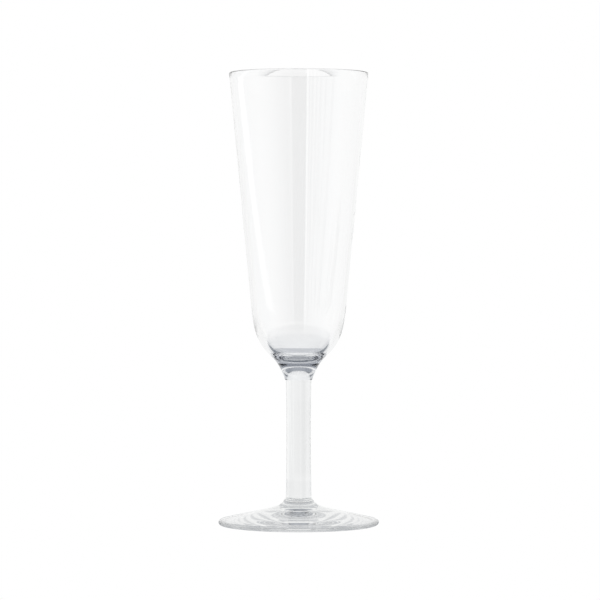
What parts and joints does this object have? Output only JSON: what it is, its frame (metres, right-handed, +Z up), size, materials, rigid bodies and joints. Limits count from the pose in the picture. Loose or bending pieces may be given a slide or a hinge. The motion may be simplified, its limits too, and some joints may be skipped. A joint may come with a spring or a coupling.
{
  "type": "champagne flute",
  "caption": "Clear glass champagne flute with a tall tapered bowl, a solid collar, a slim drawn stem and a low conical foot.",
  "frame": {"origin": "centre of the foot's standing ring, on the surface that the glass stands on", "axes": "+Z up along the glass's axis of revolution, towards the rim; +X and +Y are any two level directions"},
  "size_m": [0.071, 0.071, 0.2],
  "materials": {
    "blown_glass": "clear, fire polished",
    "solid_glass": "clear, fire polished",
    "drawn_glass": "clear, drawn smooth",
    "pressed_glass": "clear, pressed and fire polished"
  },
  "bodies": {
    "root": {"bowl": "blown_glass", "collar": "solid_glass", "stem": "drawn_glass", "foot": "pressed_glass"}
  },
  "joints": []
}
